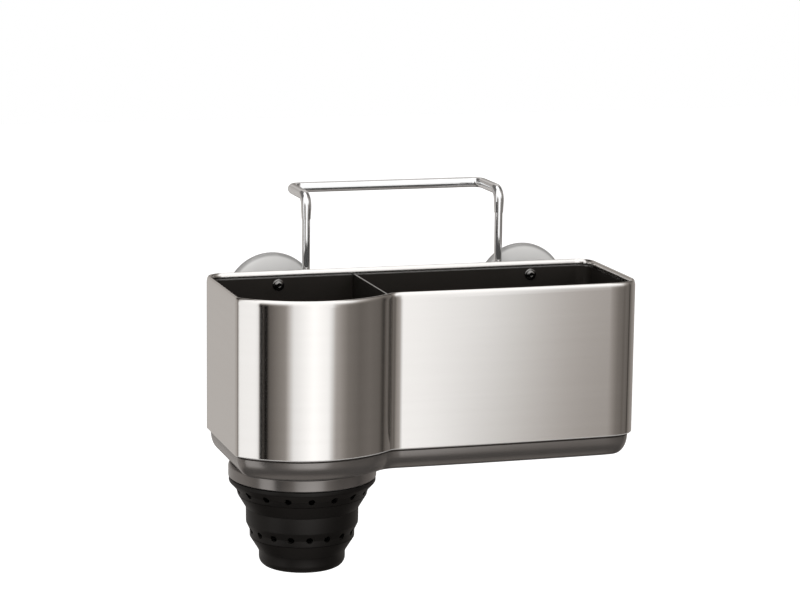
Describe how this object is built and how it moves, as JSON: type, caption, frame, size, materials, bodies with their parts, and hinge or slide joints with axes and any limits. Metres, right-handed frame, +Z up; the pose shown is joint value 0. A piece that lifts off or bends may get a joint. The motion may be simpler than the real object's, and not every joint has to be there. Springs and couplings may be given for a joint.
{
  "type": "hanging sink caddy",
  "caption": "Steel sink caddy with a brush well, a sponge well and a folding silicone brush cup, hung over a sink divider by a wire hanger and held by suction cups.",
  "frame": {"origin": "on the top edge of the sink divider's face: midway between the hanger legs, in the plane that the suction cups press on, at the height that the hanger arms rest on", "axes": "+X to the right seen from the front, +Y to the back through the sink divider, +Z up"},
  "size_m": [0.221, 0.1341, 0.1936],
  "materials": {
    "brushed_steel": "brushed along the width",
    "chrome": "polished",
    "screw_steel": "plain",
    "black_plastic": "satin",
    "smoke_plastic": "glossy smoke grey",
    "bracket_plastic": "matte",
    "black_silicone": "matte",
    "clear_vinyl": "cloudy, lets light through"
  },
  "bodies": {
    "caddy": {"steel_sleeve": "brushed_steel", "liner": "black_plastic", "divider_plate": "black_plastic", "base_tray": "smoke_plastic", "collar_ring": "smoke_plastic", "cup_rim": "black_silicone", "left_bracket": "bracket_plastic", "right_bracket": "bracket_plastic", "left_suction_cup": "clear_vinyl", "right_suction_cup": "clear_vinyl", "left_upper_screw": "screw_steel", "left_lower_screw": "screw_steel", "right_upper_screw": "screw_steel", "right_lower_screw": "screw_steel"},
    "hanger": {"hanger_bar": "chrome", "left_rod": "chrome", "right_rod": "chrome", "left_rod_stop": "bracket_plastic", "right_rod_stop": "bracket_plastic"},
    "cup_middle": {"middle_ring": "black_silicone", "upper_web": "black_silicone"},
    "cup_end": {"cup_bottom": "black_silicone", "lower_web": "black_silicone"}
  },
  "joints": [
    {"name": "hanger_slide", "type": "slide", "parent": "caddy", "child": "hanger", "axis": [0, 0, 1], "range_m": [-0.025, 0.02]},
    {"name": "cup_middle_slide", "type": "slide", "parent": "caddy", "child": "cup_middle", "axis": [0, 0, 1], "range_m": [0, 0.0125], "deforming": ["upper_web"]},
    {"name": "cup_end_slide", "type": "slide", "parent": "cup_middle", "child": "cup_end", "axis": [0, 0, 1], "range_m": [0, 0.013], "deforming": ["lower_web"]}
  ]
}
